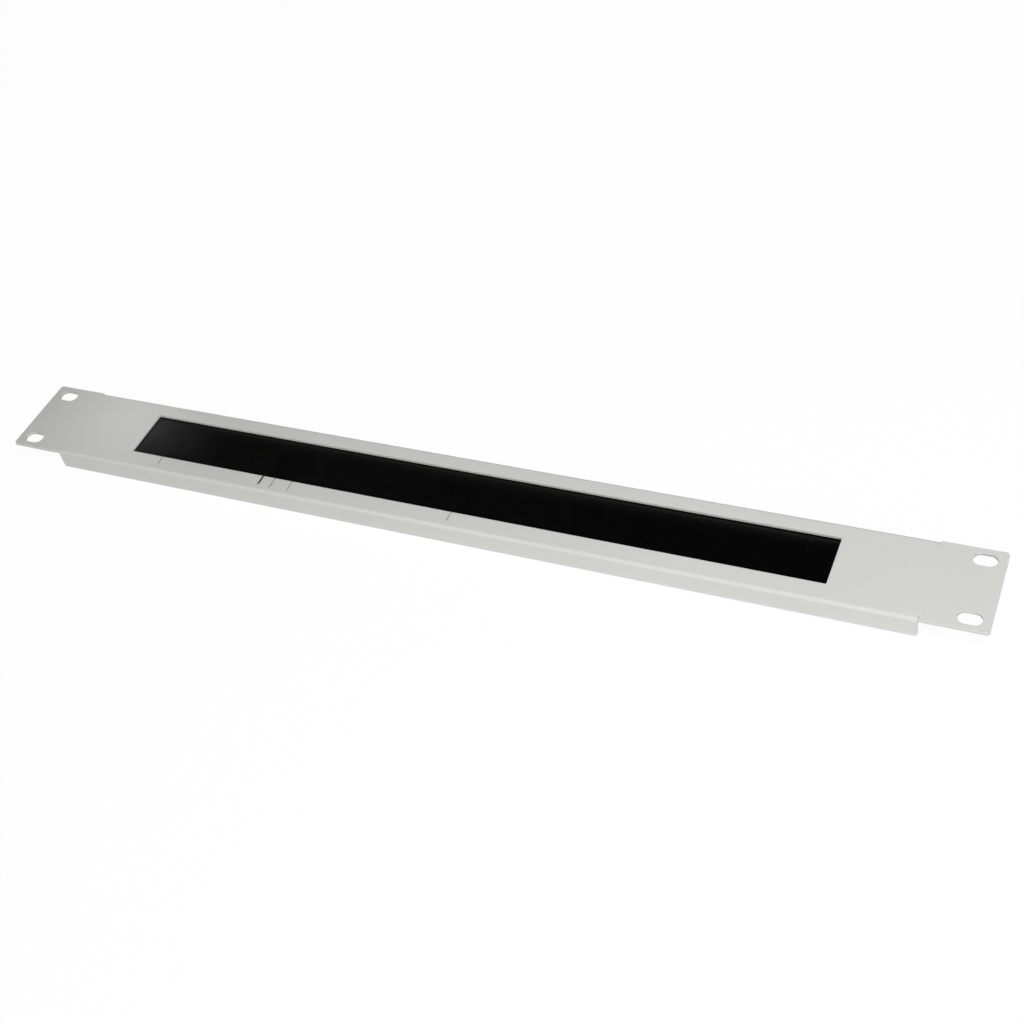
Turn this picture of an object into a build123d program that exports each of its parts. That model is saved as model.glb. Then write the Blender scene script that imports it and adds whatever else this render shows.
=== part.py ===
"""Rack brush panel: a folded sheet panel whose long opening is closed by one row of bristles.

The panel lies face up on its two flanges. X runs along the panel, Y from the near long edge to the far one,
and Z out of the face. Sizes are in millimetres.
"""
import os
from math import radians, tan

from build123d import *

# Folded sheet
PANEL_LENGTH = 482.6
PANEL_HEIGHT = 44.0
SHEET = 1.5
FLANGE_DEPTH = 10.5
BEND_INNER_RADIUS = 0.2
EAR_LENGTH = 27.9
EAR_CORNER_RADIUS = 1.5
FLANGE_CORNER_RADIUS = 1.0
RELIEF_WIDTH = 0.3
RELIEF_DEPTH = 2.0
RELIEF_MOUTH_RADIUS = 0.3
EDGE_ROUND = 0.2

# Screw slots in the ears
SLOT_LENGTH = 10.0
SLOT_WIDTH = 6.6
SLOT_EDGE_X = 8.75
SLOT_EDGE_Y = 6.125

# Opening for the cables
NEAR_MARGIN = 9.5
FAR_MARGIN = 8.0
END_MARGIN = 39.2
OPENING_CORNER_RADIUS = 0.4

# Bristles and the strip that holds their roots
BRISTLE_OVERHANG = 7.0
BRISTLE_THICKNESS = 1.8
BRISTLE_GAP = 0.4
TIP_OVERLAP = 5.5
ROOT_DEPTH = 1.0
RIDGE_COUNT = 121
RIDGE_HEIGHT = 0.25
RIDGE_SLOPE = 0.9
BACKING_OVERHANG = 10.0
BACKING_WIDTH = 5.7
BACKING_THICKNESS = 2.8
BACKING_ROUND = 0.3

# Clamp bar
BAR_WIDTH = 6.0
BAR_THICKNESS = 1.2
BAR_CLEARANCE = 0.25
BAR_CORNER_RADIUS = 1.0
BAR_EDGE_ROUND = 0.15

# Studs, washers and nuts
STUD_COUNT = 6
STUD_DIAMETER = 3.0
STUD_END_DISTANCE = 14.2
STUD_TIP = 0.8
STUD_CHAMFER = 0.4
HOLE_CLEARANCE = 0.4
WASHER_DIAMETER = 6.0
WASHER_THICKNESS = 0.5
WASHER_CLEARANCE = 0.2
NUT_FLATS = 5.5
NUT_HEIGHT = 2.4
NUT_CHAMFER = 0.43
NUT_CHAMFER_ANGLE = 30
THREAD_CLEARANCE = 0.05

half_length = PANEL_LENGTH / 2
half_height = PANEL_HEIGHT / 2
flange_end = half_length - EAR_LENGTH
back_z = FLANGE_DEPTH - SHEET
bend_radius = BEND_INNER_RADIUS + SHEET
opening_half = flange_end - END_MARGIN
near_y = NEAR_MARGIN - half_height
far_y = half_height - FAR_MARGIN
flange_inner_y = half_height - SHEET

backing_half = opening_half + BACKING_OVERHANG
bristle_half = opening_half + BRISTLE_OVERHANG
bar_far_y = flange_inner_y - BAR_CLEARANCE
stud_y = bar_far_y - BAR_WIDTH / 2
backing_near_y = stud_y - BACKING_WIDTH / 2
tip_y = near_y - TIP_OVERLAP
ridge_pitch = 2 * bristle_half / RIDGE_COUNT
bristle_top = back_z - BRISTLE_GAP
bristle_bottom = bristle_top - BRISTLE_THICKNESS
bar_top = back_z - BACKING_THICKNESS
washer_top = bar_top - BAR_THICKNESS
nut_top = washer_top - WASHER_THICKNESS
stud_end = nut_top - NUT_HEIGHT - STUD_TIP
stud_pitch = 2 * (backing_half - STUD_END_DISTANCE) / (STUD_COUNT - 1)
hole_radius = (STUD_DIAMETER + HOLE_CLEARANCE) / 2
nut_chamfer_rise = NUT_CHAMFER * tan(radians(NUT_CHAMFER_ANGLE))

os.makedirs("parts", exist_ok=True)

# Panel: a channel between the ears, the ears left flat, and a slit at each end of each bend
with BuildPart() as panel:
    with BuildSketch(Plane.YZ):
        with BuildLine():
            FilletPolyline(
                (-half_height, 0),
                (-half_height, FLANGE_DEPTH),
                (half_height, FLANGE_DEPTH),
                (half_height, 0),
                radius=bend_radius,
            )
            offset(amount=SHEET, side=Side.RIGHT)
        make_face()
    extrude(amount=flange_end, both=True)
    flange_corners = panel.edges().filter_by(Axis.Y).group_by(Axis.Z)[0]
    fillet(flange_corners, FLANGE_CORNER_RADIUS)
    with BuildSketch(Plane.XY.offset(back_z)):
        for side in (-1, 1):
            with Locations((side * (half_length + flange_end) / 2, 0)):
                ear = Rectangle(EAR_LENGTH, PANEL_HEIGHT)
            fillet(ear.vertices().group_by(Axis.X)[0 if side < 0 else -1], EAR_CORNER_RADIUS)
    extrude(amount=SHEET)
    with BuildSketch(Plane.XY.offset(back_z)):
        with GridLocations(2 * flange_end + RELIEF_WIDTH, PANEL_HEIGHT, 2, 2):
            SlotOverall(2 * RELIEF_DEPTH, RELIEF_WIDTH, rotation=90)
        with GridLocations(PANEL_LENGTH - 2 * SLOT_EDGE_X, PANEL_HEIGHT - 2 * SLOT_EDGE_Y, 2, 2):
            SlotOverall(SLOT_LENGTH, SLOT_WIDTH)
        with Locations((0, (near_y + far_y) / 2)):
            RectangleRounded(2 * opening_half, far_y - near_y, OPENING_CORNER_RADIUS)
    extrude(amount=SHEET, mode=Mode.SUBTRACT)
    mouths = [
        edge
        for edge in panel.edges().filter_by(Axis.Z)
        if abs(abs(edge.center().X) - flange_end - RELIEF_WIDTH) < 0.01
        and abs(abs(edge.center().Y) - half_height) < 0.01
    ]
    fillet(mouths, RELIEF_MOUTH_RADIUS)
    bend_lines = [
        edge
        for edge in panel.edges().filter_by(Axis.X)
        if abs(abs(edge.center().Y) - half_height + bend_radius) < 0.01
        or abs(edge.center().Z - FLANGE_DEPTH + bend_radius) < 0.01
    ]
    crossings = [
        edge
        for edge in panel.edges().filter_by(GeomType.LINE)
        if abs(edge.center().Z - back_z - SHEET / 2) < 0.001
        or abs(abs(edge.center().Y) - half_height + SHEET / 2) < 0.001
    ]
    rims = [edge for edge in panel.edges() if edge not in bend_lines and edge not in crossings]
    fillet(rims, EDGE_ROUND)

panel.part.label = "panel"
export_step(panel.part, "parts/panel.step")

# Strip that the bristle roots are fused into, with its far front corner cleared for the bend
with BuildPart() as brush_backing:
    with BuildSketch(Plane.YZ):
        with Locations((stud_y, back_z - BACKING_THICKNESS / 2)):
            strip = Rectangle(BACKING_WIDTH, BACKING_THICKNESS)
        bend_corner = strip.vertices().group_by(Axis.Y)[-1].sort_by(Axis.X)[-1]
        chamfer(bend_corner, BEND_INNER_RADIUS)
        fillet(strip.vertices().group_by(Axis.X)[0], BACKING_ROUND)
    extrude(amount=backing_half, both=True)
    with BuildSketch(Plane.XY.offset(back_z)):
        with Locations((0, stud_y)):
            with GridLocations(stud_pitch, 1, STUD_COUNT, 1):
                Circle(hole_radius)
    extrude(amount=-BACKING_THICKNESS, mode=Mode.SUBTRACT)
    with BuildSketch(Plane.XY.offset(bristle_bottom)):
        with Locations((0, backing_near_y + ROOT_DEPTH / 2)):
            Rectangle(2 * bristle_half, ROOT_DEPTH)
    extrude(amount=BRISTLE_THICKNESS, mode=Mode.SUBTRACT)

brush_backing.part.label = "brush_backing"
export_step(brush_backing.part, "parts/brush_backing.step")

# Bristles: one curtain from the strip to behind the near margin, ridged along the filaments
upper_line = []
lower_line = []
for ridge in range(RIDGE_COUNT):
    start = ridge * ridge_pitch - bristle_half
    valley_and_crest = ((0, RIDGE_HEIGHT), (RIDGE_SLOPE, 0), (ridge_pitch - RIDGE_SLOPE, 0))
    for step, drop in valley_and_crest:
        upper_line.append((start + step, bristle_top - drop))
        lower_line.append((start + step, bristle_bottom + drop))
upper_line.append((bristle_half, bristle_top - RIDGE_HEIGHT))
lower_line.append((bristle_half, bristle_bottom + RIDGE_HEIGHT))
with BuildPart() as bristles:
    with BuildSketch(Plane.XZ.offset(-backing_near_y - ROOT_DEPTH)):
        with BuildLine():
            Polyline(*upper_line, *reversed(lower_line), close=True)
        make_face()
    extrude(amount=backing_near_y + ROOT_DEPTH - tip_y)

bristles.part.label = "bristles"
export_step(bristles.part, "parts/bristles.step")

# Flat bar that presses the strip against the back of the panel
with BuildPart() as clamp_bar:
    with BuildSketch(Plane.XY.offset(bar_top)):
        with Locations((0, stud_y)):
            RectangleRounded(2 * backing_half, BAR_WIDTH, BAR_CORNER_RADIUS)
            with GridLocations(stud_pitch, 1, STUD_COUNT, 1):
                Circle(hole_radius, mode=Mode.SUBTRACT)
    extrude(amount=-BAR_THICKNESS)
    broad_faces = clamp_bar.faces().filter_by(Axis.Z)
    fillet([edge for face in broad_faces for edge in face.outer_wire().edges()], BAR_EDGE_ROUND)

clamp_bar.part.label = "clamp_bar"
export_step(clamp_bar.part, "parts/clamp_bar.step")

# Studs welded to the back of the panel
with BuildPart() as weld_studs:
    with BuildSketch(Plane.XY.offset(back_z)):
        with Locations((0, stud_y)):
            with GridLocations(stud_pitch, 1, STUD_COUNT, 1):
                Circle(STUD_DIAMETER / 2)
    extrude(amount=stud_end - back_z)
    chamfer(weld_studs.edges().group_by(Axis.Z)[0], STUD_CHAMFER)

weld_studs.part.label = "weld_studs"
export_step(weld_studs.part, "parts/weld_studs.step")

# Washers
with BuildPart() as washers:
    with BuildSketch(Plane.XY.offset(washer_top)):
        with Locations((0, stud_y)):
            with GridLocations(stud_pitch, 1, STUD_COUNT, 1):
                Circle(WASHER_DIAMETER / 2)
                Circle((STUD_DIAMETER + WASHER_CLEARANCE) / 2, mode=Mode.SUBTRACT)
    extrude(amount=-WASHER_THICKNESS)

washers.part.label = "washers"
export_step(washers.part, "parts/washers.step")

# Hex nuts, two flats along the flange, with their corners turned off as on a lathe
with BuildPart() as nut_blanks:
    with BuildSketch(Plane.XY.offset(nut_top)):
        with Locations((0, stud_y)):
            with GridLocations(stud_pitch, 1, STUD_COUNT, 1):
                Circle(NUT_FLATS / 2 + NUT_CHAMFER)
    extrude(amount=-NUT_HEIGHT)
    chamfer(nut_blanks.edges().filter_by(GeomType.CIRCLE), nut_chamfer_rise, NUT_CHAMFER)

with BuildPart() as nuts:
    with BuildSketch(Plane.XY.offset(nut_top)):
        with Locations((0, stud_y)):
            with GridLocations(stud_pitch, 1, STUD_COUNT, 1):
                RegularPolygon(NUT_FLATS / 2, 6, major_radius=False)
                Circle(STUD_DIAMETER / 2 + THREAD_CLEARANCE, mode=Mode.SUBTRACT)
    extrude(amount=-NUT_HEIGHT)
    add(nut_blanks.part, mode=Mode.INTERSECT)

nuts.part.label = "nuts"
export_step(nuts.part, "parts/nuts.step")
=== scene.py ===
"""Looks of the rack brush panel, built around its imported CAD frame."""

import math
import random

import bmesh
import bpy
from mathutils import Matrix, Vector


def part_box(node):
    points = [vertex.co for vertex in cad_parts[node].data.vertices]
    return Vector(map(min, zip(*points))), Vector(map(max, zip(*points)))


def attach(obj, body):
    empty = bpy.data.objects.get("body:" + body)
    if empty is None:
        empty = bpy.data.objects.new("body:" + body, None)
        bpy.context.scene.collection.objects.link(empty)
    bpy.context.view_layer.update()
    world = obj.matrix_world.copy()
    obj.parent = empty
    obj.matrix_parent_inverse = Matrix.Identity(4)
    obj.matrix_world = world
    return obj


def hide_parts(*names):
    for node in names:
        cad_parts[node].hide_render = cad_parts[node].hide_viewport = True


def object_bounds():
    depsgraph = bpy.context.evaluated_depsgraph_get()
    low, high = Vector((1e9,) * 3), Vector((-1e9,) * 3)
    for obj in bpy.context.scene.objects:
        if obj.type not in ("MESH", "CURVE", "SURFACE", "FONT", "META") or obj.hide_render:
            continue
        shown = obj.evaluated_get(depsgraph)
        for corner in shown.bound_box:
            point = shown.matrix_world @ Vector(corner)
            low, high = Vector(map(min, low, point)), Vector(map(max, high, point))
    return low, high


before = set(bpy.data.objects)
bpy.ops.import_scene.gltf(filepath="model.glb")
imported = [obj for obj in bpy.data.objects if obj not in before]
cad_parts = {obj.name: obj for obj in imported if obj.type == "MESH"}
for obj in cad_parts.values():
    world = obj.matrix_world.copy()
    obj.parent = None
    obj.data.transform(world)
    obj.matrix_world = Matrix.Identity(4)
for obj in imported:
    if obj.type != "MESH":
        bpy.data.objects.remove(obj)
cad_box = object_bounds()

MM = 0.001

# The panel: its face, the near edge of its opening, and its two long bends, with shade painted darker over
# the bends to soften their highlight
FACE_FRONT = cad_box[1].z
HALF_HEIGHT = cad_box[1].y
NEAR_EDGE = -12.5 * MM
FLANGE_END = 213.4 * MM
BEND_RADIUS = 1.7 * MM
# How much painted shade darkens the bends, to tone down their highlight
BEND_PAINTED_SHADE = 0.3

# The brush: many fine filaments in staggered layers, a packed core between loose layers
BRUSH_LOW, BRUSH_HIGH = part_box("bristles")
BRUSH_LAYERS = {"brush_back": (0, 1), "brush_core": (2, 3, 4), "brush_front": (5, 6)}
BRUSH_SEED = 4821
LAYER_COUNT = 7
LAYER_STAGGER = 0.25
LAYER_WANDER = 0.06 * MM
FILAMENT_RADIUS = 0.13 * MM
FILAMENT_PITCH = 0.265 * MM
FILAMENT_PLACES = 4
FIRST_GAP = 0.1
CORE_SIDES = 4
LOOSE_SIDES = 6
ROOT_INSET = 0.15 * MM
TIP_UNEVEN = 1.1 * MM
TIP_SPREAD = 0.16 * MM
LEAN_CURVE = 1.5

# Soft clumps along the brush, as waves: length, sideways lean of the tips, phase
SWAY_WAVES = ((23.0 * MM, 0.30 * MM, 1.1), (8.7 * MM, 0.16 * MM, 2.3))

# The few filaments that have slipped out over the near margin, in millimetres:
# x at the opening's edge, x and y of the tip, radius
STRAY_FILAMENTS = (
    (-155.35, -155.0, -17.65, 0.12),
    (-97.45, -97.35, -18.3, 0.14),
    (-97.20, -97.10, -18.2, 0.14),
    (-96.95, -96.75, -17.5, 0.12),
    (-90.5, -90.55, -19.15, 0.10),
    (-81.1, -80.9, -18.95, 0.10),
    (3.0, 2.6, -18.3, 0.10),
)

# Their way up through the brush, as y and height over the brush's front, and then over the face,
# as y from the opening's edge and height over the face
STRAY_ROOT_DEPTH = 0.3 * MM
STRAY_CLIMB = ((8.0 * MM, -0.1 * MM), (0.0, 0.1 * MM), (-7.0 * MM, 0.9 * MM))
STRAY_BEFORE_EDGE = (0.6 * MM, 0.10 * MM)
STRAY_PAST_EDGE = (-1.6 * MM, 0.12 * MM)
STRAY_TIP_HEIGHT = 0.22 * MM
STRAY_SIDES = 6
CURVE_ORDER = 4
CURVE_STEPS = 6

# The weld studs and their thread, with its flanks and crest as shares of the pitch
STUD_COUNT = 6
STUD_LOW, STUD_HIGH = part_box("weld_studs")
STUD_RADIUS = (STUD_HIGH.y - STUD_LOW.y) / 2
STUD_Y = (STUD_HIGH.y + STUD_LOW.y) / 2
STUD_SPACING = (STUD_HIGH.x - STUD_LOW.x - 2 * STUD_RADIUS) / (STUD_COUNT - 1)
STUD_CHAMFER = 0.4 * MM
THREAD_PITCH = 0.5 * MM
THREAD_DEPTH = 0.27 * MM
THREAD_FLANK = 0.38
THREAD_CREST = 0.12
THREAD_STEPS = 20
THREAD_CREASE = math.radians(35.0)
MERGE_DISTANCE = 0.001 * MM
CUT_DISTANCE = 0.0001 * MM
RIM_DISTANCE = 0.01 * MM

# The fine rings that turning leaves on the washers and nuts
TURNING_PITCH = 0.16 * MM

# The floor, a hair under the flanges so that the two share no plane
FLOOR_RADIUS = 40.0
FLOOR_SIDES = 96
FLOOR_DROP = 0.02 * MM
FLOOR_GREY = 0.85
FLOOR_WHITE = 0.965

# The room's light as stops, each a place and a level: how low the dim ceiling hangs, from the front to
# the back of the room, and the light from the walls up to the ceiling
CEILING_STOPS = ((0.60, 0.20), (0.70, 1.0), (0.88, 1.0), (0.95, 0.40))
LIGHT_STOPS = ((0.083, 0.98), (0.115, 0.040), (0.42, 0.005))

# The lamps: a wide key from the front right, and a narrow rim lamp behind the brush's left end
KEY_PLACE = (0.357, -0.277, 0.80)
KEY_AIM = (0.05, 0.0, 0.01)
KEY_SIZE = 0.4
KEY_WATTS = 7.6
KEY_SPREAD = math.radians(180.0)
RIM_PLACE = (-0.192, 0.112, 0.179)
RIM_AIM = (-0.192, 0.005, 0.0086)
RIM_SIZE = 0.03
RIM_WATTS = 0.0017
RIM_SPREAD = math.radians(28.0)

# The photograph's camera: its place, the directions of its frame, and its focal length in the frame's pixels
CAMERA_PLACE = (0.2864384, -0.4153532, 0.4935923)
CAMERA_RIGHT = Vector((0.91083868, 0.37985213, -0.16150934))
CAMERA_DOWN = Vector((0.17180925, -0.70468162, -0.68840788))
CAMERA_FORWARD = Vector((-0.37530586, 0.59927972, -0.70711337))
FOCAL_PIXELS = 1524.38
FRAME_PIXELS = 1024
SENSOR_WIDTH = 36.0
NEAREST_SEEN = 0.01
FARTHEST_SEEN = 100.0


class Wire:
    """A node's output that can be used in sums: each operator adds one Math node to its finish."""

    def __init__(self, finish, socket):
        self.finish = finish
        self.socket = socket

    def maths(self, operation, *values):
        inputs = dict(enumerate(values))
        return self.finish.node("ShaderNodeMath", {"operation": operation}, inputs)

    def __add__(self, other):
        return self.maths("ADD", self, other)

    def __radd__(self, other):
        return self.maths("ADD", other, self)

    def __sub__(self, other):
        return self.maths("SUBTRACT", self, other)

    def __rsub__(self, other):
        return self.maths("SUBTRACT", other, self)

    def __mul__(self, other):
        return self.maths("MULTIPLY", self, other)

    def __rmul__(self, other):
        return self.maths("MULTIPLY", other, self)

    def __pow__(self, other):
        return self.maths("POWER", self, other)

    def __rpow__(self, other):
        return self.maths("POWER", other, self)

    def __mod__(self, other):
        return self.maths("FLOORED_MODULO", self, other)

    def __rmod__(self, other):
        return self.maths("FLOORED_MODULO", other, self)

    def __abs__(self):
        return self.maths("ABSOLUTE", self)

    def lesser(self, other):
        return self.maths("MINIMUM", self, other)

    def greater(self, other):
        return self.maths("MAXIMUM", self, other)

    def sine(self):
        return self.maths("SINE", self)


class Finish:
    """A node tree that one method fills."""

    def __init__(self, owner):
        owner.use_nodes = True
        self.owner = owner
        self.tree = owner.node_tree
        self.tree.nodes.clear()

    def node(self, kind, settings=None, inputs=None, output=0):
        made = self.tree.nodes.new(kind)
        for name, value in (settings or {}).items():
            if name == "stops":
                stops = made.color_ramp.elements
                while len(stops) < len(value):
                    stops.new(1.0)
                for stop, (place, level) in zip(stops, value):
                    stop.position = place
                    stop.color = grey(level)
            else:
                setattr(made, name, value)
        for name, value in (inputs or {}).items():
            if isinstance(value, Wire):
                self.tree.links.new(value.socket, made.inputs[name])
            else:
                made.inputs[name].default_value = value
        return Wire(self, made.outputs[output]) if made.outputs else None

    def axes(self, coordinates):
        """The x, y and z of a place or a direction, read from the named texture coordinates."""
        here = self.node("ShaderNodeTexCoord", output=coordinates)
        return [self.node("ShaderNodeSeparateXYZ", None, {"Vector": here}, axis) for axis in "XYZ"]

    def place(self, scale=(1.0, 1.0, 1.0)):
        """Object coordinates, stretched where a pattern runs along the piece."""
        here = self.node("ShaderNodeTexCoord", output="Object")
        return self.node("ShaderNodeMapping", None, {"Vector": here, "Scale": scale})

    def noise(self, where, scale, detail):
        sockets = {"Vector": where, "Scale": scale, "Detail": detail}
        return self.node("ShaderNodeTexNoise", None, sockets)

    def ramp(self, share, stops):
        """A level that follows the stops, each a place and a level."""
        return self.node("ShaderNodeValToRGB", {"stops": stops}, {"Fac": share})

    def blend(self, share, first, second):
        """A colour between two colours. The node's sockets share their names, so they go by number."""
        return self.node("ShaderNodeMix", {"data_type": "RGBA"}, {0: share, 6: first, 7: second}, 2)

    def bump(self, height, depth, strength):
        sockets = {"Height": height, "Distance": depth, "Strength": strength}
        return self.node("ShaderNodeBump", None, sockets)

    def skin(self, **sockets):
        """The piece's surface, with underscores for the spaces in the socket names."""
        named = {name.replace("_", " "): value for name, value in sockets.items()}
        surface = self.node("ShaderNodeBsdfPrincipled", None, named)
        self.node("ShaderNodeOutputMaterial", None, {"Surface": surface})
        return self.owner


def new_finish(name):
    return Finish(bpy.data.materials.new(name))


def grey(level, warm=1.0):
    """A grey of one level, whose blue is a share of it."""
    return (level, level, level * warm, 1.0)


def painted_bend_shade(finish):
    """Where shade is painted over the bends: one in the middle of each long bend, nothing on the flat sheet.
    """
    x, y, z = finish.axes("Object")
    across = abs(y) - (HALF_HEIGHT - BEND_RADIUS)
    up = z - (FACE_FRONT - BEND_RADIUS)
    along = FLANGE_END - abs(x)
    return across.lesser(up).lesser(along).greater(0.0) * (math.sqrt(2.0) / BEND_RADIUS)


def grey_powder_coat():
    """Light grey satin powder, with a fine orange peel, a faint drift of tone, and shade painted darker over
    the bends.
    """
    finish = new_finish("grey_powder_coat")
    here = finish.place()
    peel = finish.noise(here, scale=950.0, detail=3.0)
    drift = finish.noise(here, scale=14.0, detail=3.0)
    fleck = finish.noise(here, scale=3800.0, detail=1.0)
    # The bends are painted darker: a painted shade that tones down their highlight
    tone = drift * 0.4 + peel * 0.4 + fleck * 0.2 - painted_bend_shade(finish) * BEND_PAINTED_SHADE
    deep, pale = grey(0.545, warm=0.965), grey(0.645, warm=0.973)
    return finish.skin(
        Base_Color=finish.blend(tone, deep, pale),
        Roughness=0.62 + peel * 0.16,
        Specular_IOR_Level=0.3,
        Normal=finish.bump(peel, depth=0.05 * MM, strength=0.35),
    )


def black_filament():
    """Black nylon, each filament a little lighter, duller or shinier than the next."""
    finish = new_finish("black_filament")
    strand = finish.noise(finish.place((1.0, 0.02, 1.0)), scale=2600.0, detail=1.0)
    along = finish.noise(finish.place((1.0, 0.25, 1.0)), scale=160.0, detail=2.0)
    deep, pale = grey(0.0005), grey(0.0022, warm=1.05)
    return finish.skin(
        Base_Color=finish.blend(strand * 0.7 + along * 0.3, deep, pale),
        Roughness=0.15 + strand * 0.12,
        Specular_IOR_Level=0.5,
    )


def black_plastic():
    """Black extruded plastic, drawn lines along its length."""
    finish = new_finish("black_plastic")
    lines = finish.noise(finish.place((0.01, 1.0, 1.0)), scale=2200.0, detail=2.0)
    cloud = finish.noise(finish.place(), scale=60.0, detail=2.0)
    deep, pale = grey(0.016), grey(0.026)
    return finish.skin(
        Base_Color=finish.blend(cloud, deep, pale),
        Roughness=0.42 + lines * 0.2,
        Normal=finish.bump(lines, depth=0.04 * MM, strength=0.5),
    )


def galvanised_steel():
    """Zinc-dipped strip, with a spangle of grains that catch the light one by one."""
    finish = new_finish("galvanised_steel")
    ruffle = finish.noise(finish.place(), scale=180.0, detail=2.0)
    rolled = finish.noise(finish.place((0.02, 1.0, 1.0)), scale=1500.0, detail=2.0)
    spangle = finish.node(
        "ShaderNodeTexVoronoi",
        {"feature": "F1"},
        {"Vector": finish.place((1.0, 1.0, 0.2)), "Scale": 260.0, "Randomness": 1.0},
        "Color",
    )
    grain = finish.node("ShaderNodeSeparateColor", None, {"Color": spangle}, "Red")
    dull, bright = (0.44, 0.45, 0.46, 1.0), (0.62, 0.63, 0.64, 1.0)
    return finish.skin(
        Base_Color=finish.blend(grain * 0.75 + ruffle * 0.25, dull, bright),
        Metallic=1.0,
        Roughness=0.30 + grain * 0.14 + ruffle * 0.1,
        Normal=finish.bump(rolled, depth=0.02 * MM, strength=0.4),
    )


def turned_rings(finish):
    """Fine rings about each stud, as a cutting tool leaves them."""
    x, y, _ = finish.axes("Object")
    across = (x + STUD_COUNT / 2 * STUD_SPACING) % STUD_SPACING - STUD_SPACING / 2
    up = y - STUD_Y
    reach = (across * across + up * up) ** 0.5
    return (reach * (2 * math.pi / TURNING_PITCH)).sine()


def zinc_plated_steel():
    """Bright zinc plate over turned and pressed steel, with a faint cool bloom."""
    finish = new_finish("zinc_plated_steel")
    bloom = finish.noise(finish.place(), scale=420.0, detail=3.0)
    cool, warm = (0.56, 0.58, 0.62, 1.0), (0.70, 0.69, 0.66, 1.0)
    return finish.skin(
        Base_Color=finish.blend(bloom, cool, warm),
        Metallic=1.0,
        Roughness=0.20 + bloom * 0.18,
        Normal=finish.bump(turned_rings(finish), depth=0.006 * MM, strength=0.5),
    )


def coppered_steel():
    """Thin copper flash, worn towards the steel in places."""
    finish = new_finish("coppered_steel")
    worn = finish.noise(finish.place(), scale=900.0, detail=3.0)
    rubbed = finish.ramp(worn, ((0.48, 0.0), (0.72, 1.0)))
    copper, steel = (0.62, 0.36, 0.25, 1.0), (0.52, 0.47, 0.43, 1.0)
    return finish.skin(
        Base_Color=finish.blend(rubbed, copper, steel),
        Metallic=1.0,
        Roughness=0.26 + worn * 0.2,
    )


def new_piece(name, mesh, finish, node):
    """Puts a mesh that is already in its place into the scene, as the piece that stands for a CAD node."""
    piece = bpy.data.objects.new(name, mesh)
    bpy.context.scene.collection.objects.link(piece)
    mesh.materials.clear()
    mesh.materials.append(finish)
    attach(piece, "root")
    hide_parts(node)


def drawn_mesh(name, routes, kind, sides):
    """Round filaments along routes, each a radius and a list of places, as one mesh."""
    curve = bpy.data.curves.new(name, "CURVE")
    curve.dimensions = "3D"
    curve.use_fill_caps = True
    curve.resolution_u = CURVE_STEPS
    # The points carry the radius, and a round profile has four sides and two more for each step
    curve.bevel_depth = 1.0
    curve.bevel_resolution = sides // 2 - 2
    for radius, places in routes:
        spline = curve.splines.new(kind)
        spline.points.add(len(places) - 1)
        for point, place in zip(spline.points, places):
            point.co = (*place, 1.0)
            point.radius = radius
        if kind == "NURBS":
            spline.order_u = CURVE_ORDER
            spline.use_endpoint_u = True
    drawing = bpy.data.objects.new(name, curve)
    mesh = bpy.data.meshes.new_from_object(drawing)
    bpy.data.objects.remove(drawing)
    bpy.data.curves.remove(curve)
    mesh.name = name
    mesh.shade_smooth()
    return mesh


def sway(x):
    """How far the tips lean sideways at a place along the brush."""
    return sum(lean * math.sin(2 * math.pi * x / wave + phase) for wave, lean, phase in SWAY_WAVES)


def within(value, low, high):
    return min(max(value, low), high)


def layer_routes(rng, layer, loose):
    """One layer of the brush, from its roots in the backing to its cut tips.

    The filaments of a loose layer stray a little, sideways and from front to back.
    """
    left, right = BRUSH_LOW.x + FILAMENT_RADIUS, BRUSH_HIGH.x - FILAMENT_RADIUS
    bottom, top = BRUSH_LOW.z + FILAMENT_RADIUS, BRUSH_HIGH.z - FILAMENT_RADIUS
    step = (BRUSH_HIGH.z - BRUSH_LOW.z - 2 * FILAMENT_RADIUS) / (LAYER_COUNT - 1)
    depth = bottom + layer * step
    root = BRUSH_HIGH.y - ROOT_INSET
    count = int((right - left) / FILAMENT_PITCH)
    routes = []
    # Most tips end near the cut, and a filament strays from front to back fully from its middle on
    for number in range(count):
        start = left + (number + FIRST_GAP + layer * LAYER_STAGGER % 1.0) * FILAMENT_PITCH
        tip = BRUSH_LOW.y + rng.random() ** 2 * TIP_UNEVEN
        lean = sway(start) + rng.gauss(0.0, TIP_SPREAD) * loose
        places = []
        for place in range(FILAMENT_PLACES):
            share = place / (FILAMENT_PLACES - 1)
            x = start + lean * share**LEAN_CURVE
            y = root + (tip - root) * share
            z = depth + rng.uniform(-LAYER_WANDER, LAYER_WANDER) * min(1.0, 2 * share) * loose
            places.append((within(x, left, right), y, within(z, bottom, top)))
        routes.append((FILAMENT_RADIUS, places))
    return routes


def make_brush(finish):
    """The row of filaments: a close-packed core between loose layers at the front and the back."""
    rng = random.Random(BRUSH_SEED)
    for name, layers in BRUSH_LAYERS.items():
        packed = name == "brush_core"
        routes = []
        for layer in layers:
            routes += layer_routes(rng, layer, 0.0 if packed else 1.0)
        mesh = drawn_mesh(name, routes, "POLY", CORE_SIDES if packed else LOOSE_SIDES)
        new_piece(name, mesh, finish, "bristles")


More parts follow.
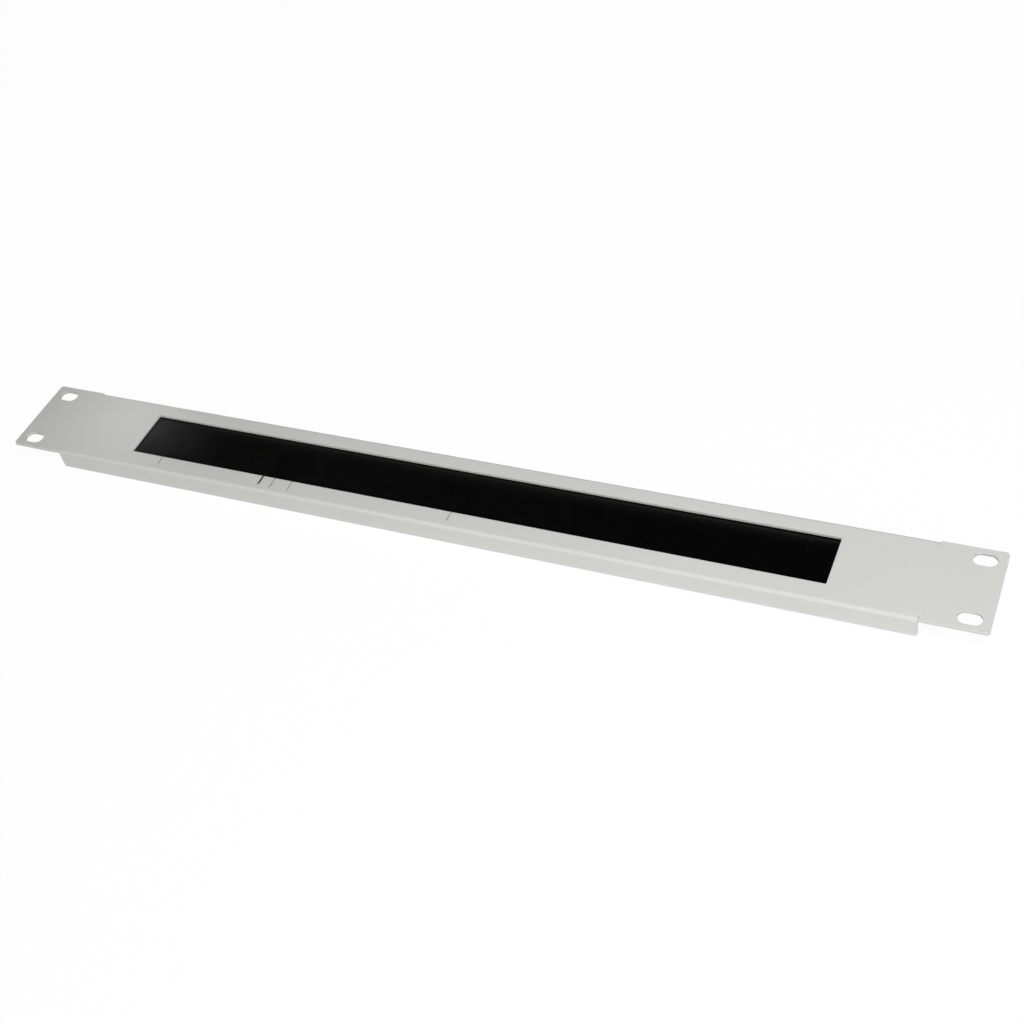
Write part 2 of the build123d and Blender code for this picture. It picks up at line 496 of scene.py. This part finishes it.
def make_stray_filaments(finish):
    """Filaments that have slipped out over the near edge of the opening and lie on the face."""
    before, height_before = STRAY_BEFORE_EDGE
    past, height_past = STRAY_PAST_EDGE
    routes = []
    for sizes in STRAY_FILAMENTS:
        edge_x, tip_x, tip_y, radius = (size * MM for size in sizes)
        inside = BRUSH_HIGH.z - radius
        rest = FACE_FRONT + radius
        places = [(edge_x, BRUSH_HIGH.y - ROOT_INSET, inside - STRAY_ROOT_DEPTH)]
        places += [(edge_x, y, inside + height) for y, height in STRAY_CLIMB]
        places += [
            (edge_x, NEAR_EDGE + before, rest + height_before),
            ((edge_x + tip_x) / 2, NEAR_EDGE + past, rest + height_past),
            (tip_x, tip_y, rest + STRAY_TIP_HEIGHT),
        ]
        routes.append((radius, places))
    mesh = drawn_mesh("stray_filaments", routes, "NURBS", STRAY_SIDES)
    new_piece("stray_filaments", mesh, finish, "bristles")


def threaded_stud():
    """One stud about the Z axis: a helical thread, cut flat at both ends and chamfered at its tip."""
    valley = STUD_RADIUS - THREAD_DEPTH
    crest_end = THREAD_FLANK + THREAD_CREST
    outline = (
        (valley, 0.0),
        (STUD_RADIUS, THREAD_FLANK),
        (STUD_RADIUS, crest_end),
        (valley, crest_end + THREAD_FLANK),
        (valley, 1.0),
    )
    # One turn more at each end, which the flat cuts take off again
    turns = math.ceil((STUD_HIGH.z - STUD_LOW.z) / THREAD_PITCH) + 2
    start = STUD_LOW.z - THREAD_PITCH
    stud = bmesh.new()
    points = [stud.verts.new((radius, 0.0, start + share * THREAD_PITCH)) for radius, share in outline]
    edges = [stud.edges.new(pair) for pair in zip(points, points[1:])]
    bmesh.ops.spin(
        stud,
        geom=points + edges,
        cent=(0.0, 0.0, 0.0),
        axis=(0.0, 0.0, 1.0),
        dvec=(0.0, 0.0, THREAD_PITCH / THREAD_STEPS),
        angle=2 * math.pi * turns,
        steps=THREAD_STEPS * turns,
    )
    bmesh.ops.remove_doubles(stud, verts=stud.verts, dist=MERGE_DISTANCE)
    for end, outwards in ((STUD_LOW.z, -1.0), (STUD_HIGH.z, 1.0)):
        bmesh.ops.bisect_plane(
            stud,
            geom=stud.verts[:] + stud.edges[:] + stud.faces[:],
            dist=CUT_DISTANCE,
            plane_co=(0.0, 0.0, end),
            plane_no=(0.0, 0.0, outwards),
            clear_outer=True,
        )
        open_edges = [edge for edge in stud.edges if edge.is_boundary]
        rim = [
            edge for edge in open_edges if all(abs(vert.co.z - end) < RIM_DISTANCE for vert in edge.verts)
        ]
        bmesh.ops.holes_fill(stud, edges=rim, sides=0)
    for vert in stud.verts:
        reach = math.hypot(vert.co.x, vert.co.y)
        limit = STUD_RADIUS - STUD_CHAMFER + (vert.co.z - STUD_LOW.z)
        if reach > limit:
            vert.co.x *= limit / reach
            vert.co.y *= limit / reach
    bmesh.ops.recalc_face_normals(stud, faces=stud.faces)
    for edge in stud.edges:
        edge.smooth = edge.calc_face_angle(0.0) < THREAD_CREASE
    for face in stud.faces:
        face.smooth = True
    return stud


def make_studs(finish):
    """The row of studs welded to the back of the panel."""
    single = threaded_stud()
    pattern = bpy.data.meshes.new("stud_pattern")
    single.to_mesh(pattern)
    single.free()
    row = bmesh.new()
    for number in range(STUD_COUNT):
        before = len(row.verts)
        row.from_mesh(pattern)
        row.verts.ensure_lookup_table()
        place = STUD_LOW.x + STUD_RADIUS + number * STUD_SPACING
        bmesh.ops.translate(row, verts=row.verts[before:], vec=(place, STUD_Y, 0.0))
    mesh = bpy.data.meshes.new("threaded_studs")
    row.to_mesh(mesh)
    row.free()
    bpy.data.meshes.remove(pattern)
    new_piece("threaded_studs", mesh, finish, "weld_studs")


def dress(node, finish):
    """Gives a CAD node its finish."""
    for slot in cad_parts[node].material_slots:
        slot.material = finish


def make_floor():
    """A wide white floor that still takes the panel's soft shadow."""
    shape = bmesh.new()
    bmesh.ops.create_circle(shape, cap_ends=True, segments=FLOOR_SIDES, radius=FLOOR_RADIUS)
    mesh = bpy.data.meshes.new("floor")
    shape.to_mesh(mesh)
    shape.free()
    floor = bpy.data.objects.new("floor", mesh)
    floor.location.z = -FLOOR_DROP
    bpy.context.scene.collection.objects.link(floor)
    finish = new_finish("white_floor")
    rays = ("Is Camera Ray", "Is Glossy Ray", "Is Transmission Ray")
    seen, mirrored, passed = (finish.node("ShaderNodeLightPath", output=ray) for ray in rays)
    shown = (seen + mirrored + passed).lesser(1.0)
    matt = finish.node("ShaderNodeBsdfDiffuse", None, {"Color": grey(FLOOR_GREY)})
    white = finish.node("ShaderNodeEmission", None, {"Color": grey(1.0), "Strength": 1.0})
    surface = finish.node("ShaderNodeMixShader", None, {0: shown * FLOOR_WHITE, 1: matt, 2: white})
    finish.node("ShaderNodeOutputMaterial", None, {"Surface": surface})
    mesh.materials.append(finish.owner)


def make_sky():
    """A soft room with white walls and a dim ceiling, which hangs low where the brush would mirror it."""
    world = bpy.data.worlds.new("studio")
    bpy.context.scene.world = world
    finish = Finish(world)
    _, depth, height = finish.axes("Generated")
    # A direction runs from -1 to 1, and the ramp from 0 to 1
    lowering = finish.ramp(depth * 0.5 + 0.5, CEILING_STOPS)
    level = finish.ramp(height * lowering, LIGHT_STOPS)
    sky = finish.node("ShaderNodeBackground", None, {"Color": level, "Strength": 1.0})
    finish.node("ShaderNodeOutputWorld", None, {"Surface": sky})


def soft_box(name, place, aim, size, watts, spread):
    """A square studio lamp at a place, facing a point on the panel, with a beam of a given spread."""
    lamp = bpy.data.lights.new(name, "AREA")
    lamp.shape = "SQUARE"
    lamp.size = size
    lamp.energy = watts
    lamp.spread = spread
    holder = bpy.data.objects.new(name, lamp)
    holder.location = place
    holder.rotation_euler = (Vector(aim) - Vector(place)).to_track_quat("-Z", "Y").to_euler()
    holder.visible_camera = False
    bpy.context.scene.collection.objects.link(holder)


def make_camera():
    """The photograph's camera, fitted to the edges of the panel, its slots and its opening."""
    lens = bpy.data.cameras.new("camera")
    lens.sensor_width = SENSOR_WIDTH
    lens.lens = FOCAL_PIXELS * SENSOR_WIDTH / FRAME_PIXELS
    lens.clip_start = NEAREST_SEEN
    lens.clip_end = FARTHEST_SEEN
    camera = bpy.data.objects.new("camera", lens)
    turn = Matrix((CAMERA_RIGHT, -CAMERA_DOWN, -CAMERA_FORWARD)).transposed()
    camera.matrix_world = Matrix.Translation(CAMERA_PLACE) @ turn.to_4x4()
    bpy.context.scene.collection.objects.link(camera)
    bpy.context.scene.camera = camera


make_camera()
filament = black_filament()
make_brush(filament)
make_stray_filaments(filament)
make_studs(coppered_steel())
dress("panel", grey_powder_coat())
dress("brush_backing", black_plastic())
dress("clamp_bar", galvanised_steel())
zinc = zinc_plated_steel()
dress("washers", zinc)
dress("nuts", zinc)
make_floor()
make_sky()
soft_box("key", KEY_PLACE, KEY_AIM, KEY_SIZE, KEY_WATTS, KEY_SPREAD)
soft_box("rim", RIM_PLACE, RIM_AIM, RIM_SIZE, RIM_WATTS, RIM_SPREAD)
bpy.context.scene.view_settings.view_transform = "Standard"
